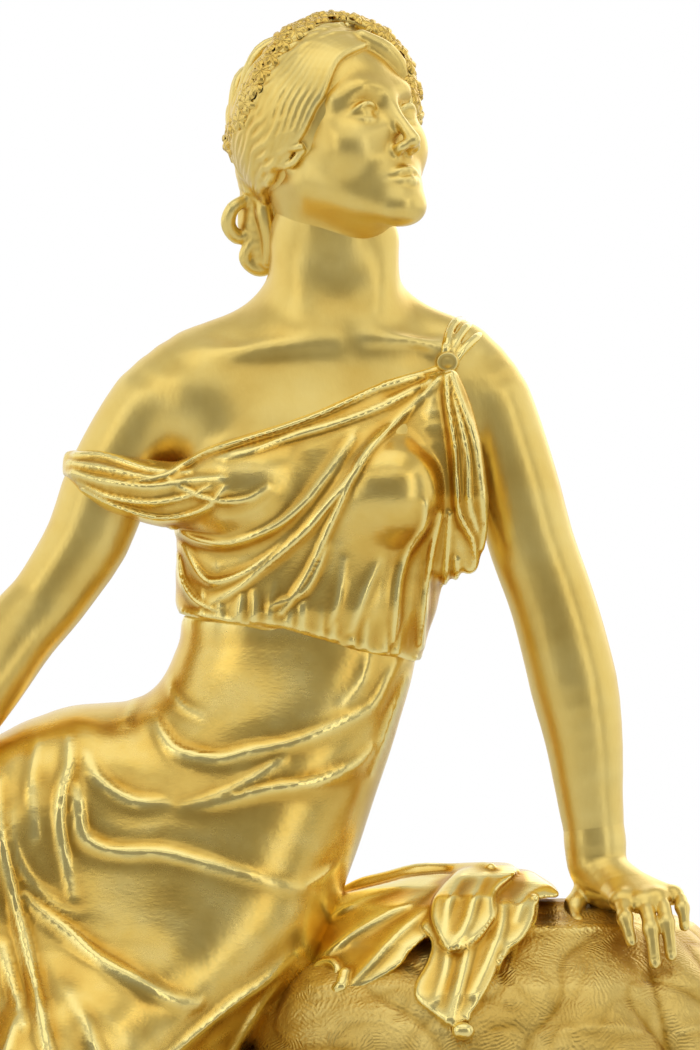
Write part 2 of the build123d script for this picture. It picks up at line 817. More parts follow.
right_finger_shares = [
    [(-0.462, -0.116, 0.226), (-0.470, -0.150, 0.200), (-0.484, -0.168, 0.178), (-0.496, -0.176, 0.158)],
    [(-0.496, -0.148, 0.194), (-0.524, -0.166, 0.170), (-0.548, -0.174, 0.146), (-0.560, -0.178, 0.120)],
    [(-0.496, -0.136, 0.194), (-0.528, -0.148, 0.170), (-0.556, -0.154, 0.146), (-0.572, -0.156, 0.116)],
    [(-0.496, -0.122, 0.194), (-0.528, -0.128, 0.170), (-0.556, -0.132, 0.146), (-0.572, -0.134, 0.118)],
    [(-0.496, -0.108, 0.194), (-0.522, -0.108, 0.170), (-0.544, -0.112, 0.150), (-0.558, -0.112, 0.130)],
]
finger_radius_shares = [0.0115, 0.0130, 0.0115, 0.0060]


def finger(places):
    """Sections of one finger from inside the palm to its tip."""
    return limb([(*place, radius, radius) for place, radius in zip(places, finger_radius_shares)])


def largest(builder):
    """The main solid of a trimmed casting."""
    return builder.part.solids().sort_by(SortBy.VOLUME)[-1]


# Each arm is one casting with its hand: palm, five fingers and round finger ends
hands = {
    "left_arm": (left_arm_shares, left_palm_shares, left_finger_shares, Vector(1, 0, 0)),
    "right_arm": (right_arm_shares, right_palm_shares, right_finger_shares, Vector(0, 1, 0)),
}
for name, (arm_rows, palm_rows, finger_rows, palm_width) in hands.items():
    with BuildPart() as arm:
        loft(limb(arm_rows))
        loft(limb(palm_rows, width_direction=palm_width))
        for places in finger_rows:
            loft(finger(places))
        add(upper_body.part, mode=Mode.SUBTRACT)
        add(rock_solid.part, mode=Mode.SUBTRACT)
        add(lower_body.part, mode=Mode.SUBTRACT)
    with BuildPart() as arm_casting:
        add(largest(arm))
    finish(arm_casting, name)

# Feet below the hems
foot_shares = {
    "right_foot": [
        (-0.604, -0.062, -0.215, 0.034, 0.036),
        (-0.604, -0.062, -0.245, 0.030, 0.032),
        (-0.612, -0.070, -0.268, 0.030, 0.028),
        (-0.655, -0.100, -0.270, 0.024, 0.032),
        (-0.695, -0.130, -0.276, 0.017, 0.034),
        (-0.725, -0.152, -0.280, 0.010, 0.026),
    ],
    "left_foot": [
        (-0.436, -0.226, -0.345, 0.034, 0.036),
        (-0.440, -0.226, -0.375, 0.030, 0.032),
        (-0.452, -0.230, -0.400, 0.030, 0.028),
        (-0.505, -0.240, -0.404, 0.024, 0.032),
        (-0.555, -0.250, -0.410, 0.017, 0.034),
        (-0.592, -0.256, -0.414, 0.010, 0.026),
    ],
}
foot_castings = []
for name, rows in foot_shares.items():
    with BuildPart() as foot:
        loft(limb(rows[:3]))
        loft(limb(rows[2:]))
        ball(rows[2][:3], rows[2][3])
        add(rock_solid.part, mode=Mode.SUBTRACT)
        add(lower_body.part, mode=Mode.SUBTRACT)
    foot_castings.append(largest(foot))
with BuildPart() as figure_feet:
    add(foot_castings)
finish(figure_feet, "figure_feet")

# Cloak laid over the rock under the left hand
cloak_thickness = 4.0
cloak_outline_shares = [
    (-0.050, 0.105), (-0.032, 0.150), (-0.008, 0.163), (0.055, 0.177), (0.108, 0.182), (0.140, 0.188),
    (0.173, 0.183), (0.208, 0.159), (0.184, 0.138), (0.171, 0.111), (0.148, 0.095), (0.132, 0.052),
    (0.119, 0.038), (0.123, 0.025), (0.103, 0.020), (0.096, 0.032), (0.066, 0.057), (0.055, 0.096),
    (-0.020, 0.065), (-0.045, 0.085),
]
with BuildPart() as cloak_shell:
    loft(rock_lobe(plateau_levels, -cloak_thickness), ruled=True)
    loft(rock_lobe(rock_levels(ground_z, rock_seat_height, face_shares), -cloak_thickness), ruled=True)
with BuildPart() as cloak_cut:
    with BuildSketch(Plane(origin=(figure_x, half_depth * 0.5, seat_z), x_dir=(1, 0, 0), z_dir=(0, -1, 0))):
        with BuildLine():
            Polyline(*[(x * figure_height, z * figure_height) for x, z in cloak_outline_shares], close=True)
        make_face()
    extrude(amount=2 * half_depth)
    add(cloak_shell.part, mode=Mode.INTERSECT)
    add(rock_solid.part, mode=Mode.SUBTRACT)
    add(lower_body.part, mode=Mode.SUBTRACT)
with BuildPart() as cloak:
    add(largest(cloak_cut))
finish(cloak, "cloak")

# Shoulder button that gathers the strap
button_shares = (0.098, -0.066, 0.690)
with BuildPart() as button:
    with BuildSketch(Plane(origin=figure_point(button_shares), x_dir=(1, 0, 0), z_dir=(0, -1, 0))):
        Circle(button_radius)
    extrude(amount=button_height + button_radius)
    add(upper_body.part, mode=Mode.SUBTRACT)
with BuildPart() as shoulder_button:
    add(largest(button))
finish(shoulder_button, "shoulder_button")

finish(upper_body_cut, "upper_body")
finish(head, "head")
finish(hair_casting, "hair")
finish(wreath, "flower_wreath")

# Bolts that hold the figure on the rock, with their heads inside it
with BuildPart() as skirt:
    add(lower_body.part)
    with BuildSketch(Plane.XY.offset(seat_z)):
        with Locations(figure_bolt_middle):
            with GridLocations(figure_bolt_spacing, figure_bolt_spacing, 2, 1):
                Circle(figure_bolt_radius)
    extrude(amount=figure_bolt_length / 2, mode=Mode.SUBTRACT)
finish(skirt, "lower_body")
with BuildPart() as figure_bolts:
    with BuildSketch(Plane.XY.offset(seat_z + figure_bolt_length / 2)):
        with Locations(figure_bolt_middle):
            with GridLocations(figure_bolt_spacing, figure_bolt_spacing, 2, 1):
                Circle(figure_bolt_radius)
    extrude(amount=-figure_bolt_length / 2 - rock_wall)
    with BuildSketch(Plane.XY.offset(seat_z - rock_wall)):
        with Locations(figure_bolt_middle):
            with GridLocations(figure_bolt_spacing, figure_bolt_spacing, 2, 1):
                RegularPolygon(figure_nut_radius, 6)
    extrude(amount=-figure_nut_height)
finish(figure_bolts, "figure_bolts")


# Case and movement


def round_bar(place, y_back, y_front, radius, mode=Mode.ADD):
    """Cylinder along the movement's depth between two Y places, y_back being the higher."""
    with Locations(case_plane(y_back, *place)):
        Cylinder(radius, y_back - y_front, align=(Align.CENTER, Align.CENTER, Align.MIN), mode=mode)


def ring(place, y_back, y_front, outer, inner):
    """Flat ring across the movement's axis."""
    round_bar(place, y_back, y_front, outer)
    round_bar(place, y_back, y_front, inner, Mode.SUBTRACT)


def square_bar(place, y_back, y_front, side, mode=Mode.ADD):
    """Square bar along the movement's depth."""
    with Locations(case_plane(y_back, *place)):
        Box(side, side, y_back - y_front, align=(Align.CENTER, Align.CENTER, Align.MIN), mode=mode)


def flat_piece(place, y_back, thickness, points, mode=Mode.ADD):
    """Flat polygon of a given thickness, facing the front."""
    with BuildSketch(case_plane(y_back, *place)) as section:
        with BuildLine():
            Polyline(*points, close=True)
        make_face()
    extrude(section.sketch.face(), amount=thickness, mode=mode)


def wheel_points(teeth, module, turn):
    """Tooth outline of a wheel, with a tooth at the angle turn."""
    pitch = 360 / teeth
    outer, root = module * (teeth / 2 + 0.8), module * (teeth / 2 - 1.3)
    points = []
    for tooth in range(teeth):
        angle = turn + tooth * pitch
        points += [
            polar(root, angle - pitch / 2), polar(outer, angle - pitch * 0.06),
            polar(outer, angle + pitch * 0.06),
        ]
    return points


def pinion_points(teeth, module, turn):
    """Leaf outline of a pinion, with a space at the angle turn."""
    pitch = 360 / teeth
    outer, root = module * (teeth / 2 + 0.7), module * (teeth / 2 - 1.25)
    points = []
    for leaf in range(teeth):
        angle = turn + (leaf + 0.5) * pitch
        points += [
            polar(root, angle - pitch * 0.16),
            polar(outer, angle - pitch * 0.05),
            polar(outer, angle + pitch * 0.05),
            polar(root, angle + pitch * 0.16),
        ]
    return points


def cross_out(place, y_back, thickness, teeth, module):
    """Cuts the four openings between a wheel's spokes."""
    rim = module * (teeth / 2 - 1.3) - rim_width
    for quarter in range(4):
        base = 90 * quarter
        inner_gap = math.degrees(spoke_width / wheel_hub_radius) / 2
        outer_gap = math.degrees(spoke_width / rim) / 2
        points = [
            polar(wheel_hub_radius, base + inner_gap + 8), polar(wheel_hub_radius, base + 82 - inner_gap)
        ]
        points += [polar(rim, base + 90 - outer_gap - share * (90 - 2 * outer_gap) / 3) for share in range(4)]
        flat_piece(place, y_back, thickness, points, Mode.SUBTRACT)

def escape_points():
    """Outline of the escape wheel, with leaning teeth."""
    pitch = 360 / escape_teeth
    points = []
    for tooth in range(escape_teeth):
        angle = tooth * pitch
        points += [
            polar(escape_radius - escape_tooth_depth, angle - pitch * 0.35),
            polar(escape_radius, angle + pitch * 0.02),
            polar(escape_radius, angle + pitch * 0.10),
            polar(escape_radius - escape_tooth_depth, angle + pitch * 0.15),
        ]
    return points


def ratchet_points(teeth, radius):
    """Outline of a ratchet wheel."""
    pitch = 360 / teeth
    points = []
    for tooth in range(teeth):
        points += [polar(radius, tooth * pitch), polar(radius * 0.86, (tooth + 0.9) * pitch)]
    return points


def spiral_points(start_radius, end_radius):
    """Band wound from the arbor out to the barrel's wall."""
    steps = 12 * mainspring_turns
    band = mainspring_thickness
    centres = [
        (
            start_radius + (end_radius - band - start_radius) * step / steps, 30.0 * step
        ) for step in range(steps + 1)
    ]
    return [polar(radius, angle) for radius, angle in centres] + [
        polar(radius + band, angle) for radius, angle in reversed(centres)
    ]


# Places of the arbors, from the centre arbor
centre = (0.0, 0.0)
barrel_place = polar(barrel_distance, barrel_angle)
intermediate_place = polar(intermediate_distance, intermediate_angle)
third_place = polar(train_module * (centre_teeth + third_pinion_teeth) / 2, third_angle)
escape_rise = third_module * (third_teeth + escape_pinion_teeth) / 2
escape_place = (0.0, third_place[1] + math.sqrt(escape_rise**2 - third_place[0] ** 2))
anchor_place = (0.0, escape_place[1] + anchor_distance)
strike_place = (-barrel_place[0], barrel_place[1])
second_distance = barrel_module * (barrel_teeth + intermediate_pinion_teeth) / 2
second_offset = polar(second_distance, 180 - strike_angle)
second_place = (strike_place[0] + second_offset[0], strike_place[1] + second_offset[1])
pin_offset = polar(train_module * (intermediate_teeth + strike_pinion_teeth) / 2, pin_wheel_angle)
pin_place = (second_place[0] + pin_offset[0], second_place[1] + pin_offset[1])
fly_offset = polar(third_module * (pin_wheel_teeth + fly_pinion_teeth) / 2, fly_angle)
fly_place = (pin_place[0] + fly_offset[0], pin_place[1] + fly_offset[1])
minute_wheel_distance = motion_module * (cannon_teeth + minute_wheel_teeth) / 2
minute_place = (0.0, minute_wheel_distance)
hour_module = 2 * minute_wheel_distance / (minute_pinion_teeth + hour_wheel_teeth)
hammer_place = polar(hammer_arbor_distance, hammer_arbor_angle)
bell_place = (bell_x, bell_rise)
pillar_places = [polar(pillar_circle_radius, angle) for angle in pillar_angles]
inner_back, inner_front = back_plate_y, front_plate_back_y

# Each arbor: its place, bars (back, front, radius), wheels and pinions (back, thickness, teeth, module, turn)
full_arbor = [
    (inner_back - end_shake, inner_front + end_shake, arbor_radius),
    (inner_back + plate_thickness, inner_front - plate_thickness, pivot_radius),
]
to_barrel = between(intermediate_place, barrel_place)[1]
to_third = between(centre, third_place)[1]
to_escape = between(third_place, escape_place)[1]
to_second = between(strike_place, second_place)[1]
arbors = {
    "intermediate_wheel": (
        intermediate_place,
        full_arbor,
        [(intermediate_y, intermediate_teeth, intermediate_module, intermediate_angle + 180)],
        [(great_wheel_y + pinion_lead, intermediate_pinion_teeth, barrel_module, to_barrel)],
    ),
    "centre_wheel": (
        centre,
        [
            (inner_back - end_shake, inner_front + end_shake, arbor_radius + centre_arbor_swell),
            (inner_back + plate_thickness, minute_hand_y - hand_boss_length, arbor_radius),
        ],
        [(centre_wheel_y, centre_teeth, train_module, to_third)],
        [(intermediate_y + wide_pinion_lead, centre_pinion_teeth, intermediate_module, intermediate_angle)],
    ),
    "third_wheel": (
        third_place,
        full_arbor,
        [(third_wheel_y, third_teeth, third_module, to_escape)],
        [(centre_wheel_y + third_pinion_lead, third_pinion_teeth, train_module, to_third + 180)],
    ),
    "strike_second_wheel": (
        second_place,
        [full_arbor[0], (countwheel_y + pinion_lead, inner_front - plate_thickness, second_pivot_radius)],
        [(second_wheel_y, intermediate_teeth, train_module, pin_wheel_angle)],
        [(great_wheel_y + pinion_lead, intermediate_pinion_teeth, barrel_module, to_second + 180)],
    ),
    "escape_wheel": (
        escape_place,
        full_arbor,
        [],
        [(third_wheel_y + wide_pinion_lead, escape_pinion_teeth, third_module, to_escape + 180)],
    ),
    "pin_wheel": (
        pin_place,
        full_arbor,
        [(pin_wheel_y, pin_wheel_teeth, third_module, fly_angle)],
        [(second_wheel_y + strike_pinion_lead, strike_pinion_teeth, train_module, pin_wheel_angle + 180)],
    ),
    "fly": (
        fly_place,
        full_arbor,
        [],
        [(pin_wheel_y + 2, fly_pinion_teeth, third_module, fly_angle + 180)],
    ),
}

# Case drum: a tube through the rock with a lip that the movement is screwed to
with BuildPart() as drum:
    ring(centre, case_back_y, case_front_y, drum_outer_radius, drum_outer_radius - drum_wall)
    lip_front_y = front_plate_back_y
    lip_radius = drum_outer_radius - drum_wall / 2
    round_bar(centre, lip_front_y + lip_thickness, lip_front_y, lip_radius)
    round_bar(centre, lip_front_y + lip_thickness, lip_front_y, lip_inner_radius, Mode.SUBTRACT)
    with Locations(Pos(dial_x, (drum_slot_front_y + drum_slot_back_y) / 2, dial_z - drum_outer_radius)):
        Box(drum_slot_width, drum_slot_back_y - drum_slot_front_y, drum_outer_radius, mode=Mode.SUBTRACT)
    for angle in ear_angles:
        round_bar(
            polar(screw_circle_radius, angle), lip_front_y + lip_thickness, lip_front_y, screw_radius,
            Mode.SUBTRACT,
        )
    for angle in tie_rod_angles:
        round_bar(
            polar(
                tie_rod_circle_radius, angle
            ), lip_front_y + lip_thickness, lip_front_y, tie_rod_radius, Mode.SUBTRACT
        )
finish(drum, "case_drum")


def door_parts(front):
    """Sign and depth of a door: the front one opens towards the front, the back one to the back."""
    return (-1, case_front_y) if front else (1, case_back_y)


def slab(place, base_y, away, start, stop, radius, mode=Mode.ADD):
    """Round slab between two distances from a case face, on its outer side."""
    depths = (base_y + away * start, base_y + away * stop)
    round_bar(place, max(depths), min(depths), radius, mode)


def hinge_boxes(base_y, away, levels, inner_x, start, stop):
    """Blocks that carry hinge knuckles at the given heights."""
    depths = (base_y + away * start, base_y + away * stop)
    for low, high in levels:
        with Locations(Pos(dial_x + inner_x, min(depths), dial_z + low)):
            Box(
                hinge_x - inner_x,
                abs(depths[1] - depths[0]),
                high - low,
                align=(Align.MIN, Align.MIN, Align.MIN),
            )


def knuckles(base_y, away, levels, radius, mode=Mode.ADD):
    """Hinge knuckles, or the bore through them."""
    for low, high in levels:
        with Locations(Pos(dial_x + hinge_x, base_y + away * hinge_depth, dial_z + low)):
            Cylinder(radius, high - low, align=(Align.CENTER, Align.CENTER, Align.MIN), mode=mode)


def glass_outline(dome_radius, rim_radius, rim_start, rim_stop):
    """Half section of a domed glass: the crown outside, the flat rim, then the crown inside."""
    shares = [step / glass_steps for step in range(glass_steps + 1)]
    outer = [(dome_radius * share, rim_stop + glass_rise * (1 - share**2)) for share in shares]
    inner_radius = dome_radius - glass_thickness
    inner = [(inner_radius * share, rim_start + glass_rise * (1 - share**2)) for share in reversed(shares)]
    return outer + [(rim_radius, rim_stop), (rim_radius, rim_start)] + inner


hinge_x = door_outer_radius + hinge_offset
hinge_depth = bezel_thickness + door_gap + door_thickness / 2
half_knuckle = hinge_knuckle_length / 2
outer_levels = [
    (-3 * half_knuckle, -half_knuckle - door_gap / 3), (half_knuckle + door_gap / 3, 3 * half_knuckle)
]
inner_levels = [(-half_knuckle, half_knuckle)]
all_levels = [(-3 * half_knuckle - hinge_pin_end, 3 * half_knuckle + hinge_pin_end)]
door_start = bezel_thickness + door_gap
door_stop = door_start + door_thickness
for side in ("front", "back"):
    away, base_y = door_parts(side == "front")
    with BuildPart() as bezel:
        slab(centre, base_y, away, 0, bezel_thickness, bezel_outer_radius)
        hinge_boxes(base_y, away, outer_levels, door_outer_radius - 4, 0, bezel_thickness)
        hinge_boxes(base_y, away, outer_levels, hinge_x - hinge_knuckle_radius, 0, hinge_depth)
        knuckles(base_y, away, outer_levels, hinge_knuckle_radius)
        knuckles(base_y, away, outer_levels, hinge_pin_radius, Mode.SUBTRACT)
        slab(centre, base_y, away, 0, bezel_thickness, bezel_inner_radius, Mode.SUBTRACT)
        if side == "back":
            for angle in tie_rod_angles:
                slab(
                    polar(
                        tie_rod_circle_radius, angle
                    ), base_y, away, 0, bezel_thickness, tie_rod_radius, Mode.SUBTRACT
                )
    finish(bezel, f"{side}_bezel")
    with BuildPart() as door:
        slab(centre, base_y, away, door_start, door_stop, door_outer_radius)
        slab(centre, base_y, away, door_start, door_stop, door_inner_radius, Mode.SUBTRACT)
        glass_stop = door_start + glass_rebate
        slab(centre, base_y, away, door_start, glass_stop, door_inner_radius + glass_rebate, Mode.SUBTRACT)
        hinge_boxes(base_y, away, inner_levels, door_outer_radius - 2, door_start + 1, door_stop - 1)
        knuckles(base_y, away, inner_levels, hinge_knuckle_radius)
        knuckles(base_y, away, inner_levels, hinge_pin_radius + hinge_clearance, Mode.SUBTRACT)
        knob_place = (-(door_outer_radius + door_inner_radius) / 2, 0)
        slab(knob_place, base_y, away, door_stop, door_stop + knob_length - 1, knob_radius)
    finish(door, f"{side}_door_frame")
    with BuildPart() as glass:
        rim_start = glass_stop - glass_thickness
        rim_radius = door_inner_radius + glass_rebate - glass_clearance
        dome_radius = door_inner_radius - glass_clearance
        with BuildSketch(Plane.XY) as profile:
            with BuildLine():
                Polyline(*glass_outline(dome_radius, rim_radius, rim_start, glass_stop), close=True)
            make_face()
        dome = revolve(profile.sketch.face(), axis=Axis.Y, mode=Mode.PRIVATE)
        turned = dome if away > 0 else mirror(dome, about=Plane.XZ, mode=Mode.PRIVATE)
        with Locations(Pos(dial_x, base_y, dial_z)):
            add(turned)
    finish(glass, f"{side}_glass")

with BuildPart() as hinge_pins:
    for side in (True, False):
        away, base_y = door_parts(side)
        knuckles(base_y, away, all_levels, hinge_pin_radius)
finish(hinge_pins, "hinge_pins")

# Tie rods that draw the back bezel towards the front one
bezel_back_y = case_back_y + bezel_thickness
with BuildPart() as tie_rods:
    for angle in tie_rod_angles:
        place = polar(tie_rod_circle_radius, angle)
        round_bar(place, case_back_y + bezel_thickness, case_front_y, tie_rod_radius)
        round_bar(place, bezel_back_y + tie_nut_thickness, bezel_back_y, tie_nut_radius)
finish(tie_rods, "tie_rods")

# Dial with its feet, winding holes and centre hole
with BuildPart() as dial:
    round_bar(centre, dial_front_y + dial_thickness, dial_front_y, dial_radius)
    for place in (barrel_place, strike_place):
        round_bar(place, dial_front_y + dial_thickness, dial_front_y, winding_hole_radius, Mode.SUBTRACT)
    round_bar(centre, dial_front_y + dial_thickness, dial_front_y, centre_hole_radius, Mode.SUBTRACT)
    for angle in dial_foot_angles:
        place = polar(dial_foot_circle_radius, angle)
        round_bar(place, front_plate_back_y, dial_front_y + dial_thickness, dial_foot_radius)
finish(dial, "dial")

# Plates, with pivot holes; the front one has ears that are screwed to the drum's lip
going_places = [intermediate_place, centre, third_place, escape_place, second_place, pin_place, fly_place]
hole_radii = [
    pivot_radius, arbor_radius, pivot_radius, pivot_radius, second_pivot_radius, pivot_radius, pivot_radius
]
plates = {"front_plate": (front_plate_back_y, -1), "back_plate": (back_plate_back_y, 1)}
for name, (y_back, side) in plates.items():
    with BuildPart() as plate:
        round_bar(centre, y_back, y_back - plate_thickness, plate_radius)
        if name == "front_plate":
            for angle in ear_angles:
                middle = polar((plate_radius + ear_reach) / 2 - 1, angle)
                with Locations(case_plane(y_back, *middle) * Rot(0, 0, angle)):
                    Box(
                        ear_reach - plate_radius + 2,
                        ear_width,
                        plate_thickness,
                        align=(Align.CENTER, Align.CENTER, Align.MIN),
                    )
        for place, radius in zip(going_places, hole_radii):
            round_bar(place, y_back, y_back - plate_thickness, radius + pivot_clearance, Mode.SUBTRACT)
        anchor_hole = pivot_radius if name == "front_plate" else arbor_radius
        round_bar(
            anchor_place, y_back, y_back - plate_thickness, anchor_hole + pivot_clearance, Mode.SUBTRACT
        )
        hammer_hole = pivot_radius if name == "front_plate" else arbor_radius
        round_bar(
            hammer_place, y_back, y_back - plate_thickness, hammer_hole + pivot_clearance, Mode.SUBTRACT
        )
        for place in (barrel_place, strike_place):
            round_bar(
                place, y_back, y_back - plate_thickness, barrel_pivot_radius + pivot_clearance, Mode.SUBTRACT
            )
        for place in pillar_places:
            round_bar(
                place, y_back, y_back - plate_thickness, pillar_radius * pillar_spigot_share, Mode.SUBTRACT
            )
        if name == "front_plate":
            for angle in dial_foot_angles:
                place = polar(dial_foot_circle_radius, angle)
                round_bar(place, y_back, y_back - plate_thickness, dial_foot_radius, Mode.SUBTRACT)
            for angle in ear_angles:
                place = polar(screw_circle_radius, angle)
                round_bar(place, y_back, y_back - plate_thickness, screw_radius, Mode.SUBTRACT)
            round_bar(minute_place, y_back - plate_thickness, minute_stud_y, minute_stud_radius)
    finish(plate, name)
with BuildPart() as plate_screws:
    for angle in ear_angles:
        place = polar(screw_circle_radius, angle)
        round_bar(place, front_plate_back_y + lip_thickness, front_plate_y, screw_radius)
        round_bar(place, front_plate_y, front_plate_y - screw_head_height, screw_head_radius)
finish(plate_screws, "plate_screws")
with BuildPart() as pillars:
    for place in pillar_places:
        round_bar(place, inner_back, inner_front, pillar_radius)
        round_bar(place, back_plate_back_y, front_plate_y, pillar_radius * pillar_spigot_share)
        round_bar(place, back_plate_back_y + pillar_nut_height, back_plate_back_y, pillar_nut_radius)
finish(pillars, "pillars")

# Barrels: toothed drum, arbor with ratchet and winding square, and mainspring, for each train
barrel_front_y = great_wheel_y - great_wheel_thickness - barrel_length
springs = []
for name, place, mate in (
    ("going", barrel_place, intermediate_place), ("strike", strike_place, second_place)
):
    with BuildPart() as barrel:
        flat_piece(
            place, great_wheel_y, great_wheel_thickness, wheel_points(
                barrel_teeth, barrel_module, between(place, mate)[1]
            )
        )
        round_bar(place, great_wheel_y - great_wheel_thickness, barrel_front_y, barrel_radius)
        round_bar(
            place,
            great_wheel_y - barrel_wall,
            barrel_front_y + barrel_wall,
            barrel_radius - barrel_wall,
            Mode.SUBTRACT,
        )
        round_bar(place, great_wheel_y, barrel_front_y, barrel_pivot_radius + hand_clearance, Mode.SUBTRACT)
    finish(barrel, f"{name}_barrel")
    with BuildPart() as barrel_arbor:
        round_bar(place, back_plate_back_y, front_plate_y, barrel_pivot_radius)
        round_bar(
            place,
            great_wheel_y - barrel_wall - running_gap,
            barrel_front_y + barrel_wall + running_gap,
            barrel_arbor_radius,
        )
        square_bar(place, front_plate_y, winding_front_y, winding_square)
        flat_piece(
            place, front_plate_y - ratchet_gap, ratchet_thickness, ratchet_points(
                ratchet_teeth, ratchet_radius
            )
        )
    finish(barrel_arbor, f"{name}_barrel_arbor")
    with BuildPart() as mainspring:
        flat_piece(
            place,
            great_wheel_y - barrel_wall - 2 * running_gap,
            barrel_length + great_wheel_thickness - 2 * barrel_wall - 4 * running_gap,
            spiral_points(barrel_arbor_radius, barrel_radius - barrel_wall - running_gap),
        )
        round_bar(place, great_wheel_y, barrel_front_y, barrel_arbor_radius, Mode.SUBTRACT)
    springs.append(largest(mainspring))
with BuildPart() as mainsprings:
    add(springs)
finish(mainsprings, "mainsprings")
with BuildPart() as clicks:
    for place in (barrel_place, strike_place):
        flat_piece(place, front_plate_y - ratchet_gap, ratchet_thickness, click_points)
        post = (place[0] + click_post[0], place[1] + click_post[1])
        round_bar(
            post, front_plate_y, front_plate_y - ratchet_gap - ratchet_thickness - ratchet_gap,
            click_post_radius,
        )
finish(clicks, "ratchet_clicks")

# Arbors with their wheels and pinions
for name, (place, bars, wheels, pinions) in arbors.items():
    with BuildPart() as turning:
        for y_back, y_front, radius in bars:
            round_bar(place, y_back, y_front, radius)
        for y_back, teeth, module, turn in wheels:
            flat_piece(place, y_back, wheel_thickness, wheel_points(teeth, module, turn))
            cross_out(place, y_back, wheel_thickness, teeth, module)
        for y_back, teeth, module, turn in pinions:
            flat_piece(place, y_back, pinion_length, pinion_points(teeth, module, turn))
        if name == "pin_wheel":
            for number in range(pin_count):
                offset = polar(pin_circle_radius, pin_start + 360 * number / pin_count)
                round_bar(
                    (
                        place[0] + offset[0], place[1] + offset[1]
                    ), pin_wheel_y + pin_length, pin_wheel_y, pin_radius
                )
        if name == "escape_wheel":
            flat_piece(place, escape_wheel_y, wheel_thickness, escape_points())
            for number in range(4):
                offset = polar((wheel_hub_radius + escape_radius - escape_tooth_depth) / 2, 45 + 90 * number)
                round_bar(
                    (place[0] + offset[0], place[1] + offset[1]),
                    escape_wheel_y,
                    escape_wheel_y - wheel_thickness,
                    escape_hole_radius,
                    Mode.SUBTRACT,
                )
        if name == "fly":
            with Locations(case_plane(fly_back_y, *place)):
                Box(2 * fly_radius, fly_thickness, fly_length, align=(Align.CENTER, Align.CENTER, Align.MIN))
    finish(turning, name)

# Countwheel on the second arbor, behind the back plate
with BuildPart() as countwheel:
    round_bar(second_place, countwheel_y, countwheel_y - wheel_thickness, countwheel_radius)
    round_bar(second_place, countwheel_y, countwheel_y - wheel_thickness, second_pivot_radius, Mode.SUBTRACT)
    strokes = 0
    for hour in range(1, 13):
        strokes += hour + 1
        offset = polar(countwheel_radius, 360 * strokes / 90)
        with Locations(
            case_plane(countwheel_y, second_place[0] + offset[0], second_place[1] + offset[1])
            * Rot(0, 0, 360 * strokes / 90)
        ):
            Box(
                2 * countwheel_notch,
                countwheel_notch / 2,
                wheel_thickness,
                align=(Align.CENTER, Align.CENTER, Align.MIN),
                mode=Mode.SUBTRACT,
            )
finish(countwheel, "countwheel")

# Anchor and crutch on one arbor that runs through the back plate
with BuildPart() as anchor:
    round_bar(anchor_place, crutch_y + crutch_thickness, inner_front + end_shake, arbor_radius)
    round_bar(anchor_place, inner_front + end_shake, front_plate_y, pivot_radius)
    arch = [
        (escape_place[0] + x, escape_place[1] + z)
        for x, z in [polar(anchor_outer_radius, 40 + 10 * step) for step in range(11)]
        + [polar(anchor_inner_radius, 140 - 10 * step) for step in range(11)]
    ]
    flat_piece(centre, anchor_y, anchor_thickness, arch)
    flat_piece(
        centre,
        anchor_y,
        anchor_thickness,
        [
            (-pallet_width, escape_place[1] + anchor_inner_radius + pallet_lap),
            (pallet_width, escape_place[1] + anchor_inner_radius + pallet_lap),
            (arbor_radius * 1.6, anchor_place[1] + arbor_radius),
            (-arbor_radius * 1.6, anchor_place[1] + arbor_radius),
        ],
    )
    for angle in (45, 135):
        nib = [
            polar(escape_radius + pallet_gap, angle - 5),
            polar(anchor_inner_radius + pallet_lap, angle - 5),
            polar(anchor_inner_radius + pallet_lap, angle + 5),
            polar(escape_radius + pallet_gap, angle + 5),
        ]
        flat_piece(escape_place, anchor_y, anchor_thickness, nib)
    flat_piece(
        anchor_place,
        crutch_y + crutch_thickness,
        crutch_thickness,
        [
            (-crutch_width, crutch_width),
            (crutch_width, crutch_width),
            (crutch_width / 2, -crutch_length),
            (-crutch_width / 2, -crutch_length),
        ],
    )
    fork_inner = pendulum_rod_radius + fork_gap
    fork_outer = fork_inner + crutch_width / 2
    fork_place = (0, anchor_place[1] - crutch_length)
    with Locations(case_plane(crutch_y + crutch_thickness, *fork_place)):
        Box(2 * fork_outer, crutch_width, crutch_thickness, align=(Align.CENTER, Align.CENTER, Align.MIN))
    for side in (-1, 1):
        with Locations(case_plane(fork_back_y, side * (fork_inner + fork_outer) / 2, fork_place[1])):
            Box(
                fork_outer - fork_inner,
                crutch_width,
                fork_back_y - crutch_y,
                align=(Align.CENTER, Align.CENTER, Align.MIN),
            )
finish(anchor, "anchor")

